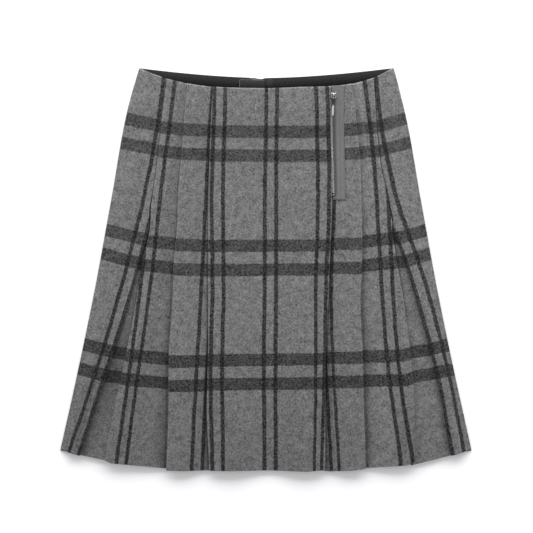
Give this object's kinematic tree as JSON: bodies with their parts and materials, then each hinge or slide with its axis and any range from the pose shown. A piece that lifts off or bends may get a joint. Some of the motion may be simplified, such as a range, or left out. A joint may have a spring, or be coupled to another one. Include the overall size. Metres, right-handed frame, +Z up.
{
  "type": "a-line skirt",
  "caption": "Knee-length A-line skirt of dark check brushed wool with pleats and an exposed front zip, laid flat.",
  "frame": {"origin": "the middle of the skirt's outline, on the surface that it lies on", "axes": "+X towards the right of the front as seen, +Y from the hem to the waist, +Z up through the cloth, out of the front"},
  "size_m": [0.5966, 0.584, 0.0139],
  "materials": {
    "wool": "brushed wool, grey with a dark check",
    "facing_cloth": "smooth black cloth",
    "tape": "woven grey tape",
    "teeth": "dark nickel",
    "nickel": "bright nickel"
  },
  "bodies": {
    "skirt": {"back": "wool", "side_front_left": "wool", "front_left": "wool", "front_center": "wool", "front_right": "wool", "side_front_right": "wool", "facing": "facing_cloth", "label": "facing_cloth", "zip_tape": "tape", "zip_chain": "teeth", "zip_slider": "nickel"},
    "pull": {"zip_pull": "nickel"}
  },
  "joints": [
    {"name": "pull_hinge", "type": "hinge", "parent": "skirt", "child": "pull", "pos_m": [0.09913, 0.252, 0.01189], "axis": [-1, 0, 0], "range_deg": [0, 170]}
  ]
}
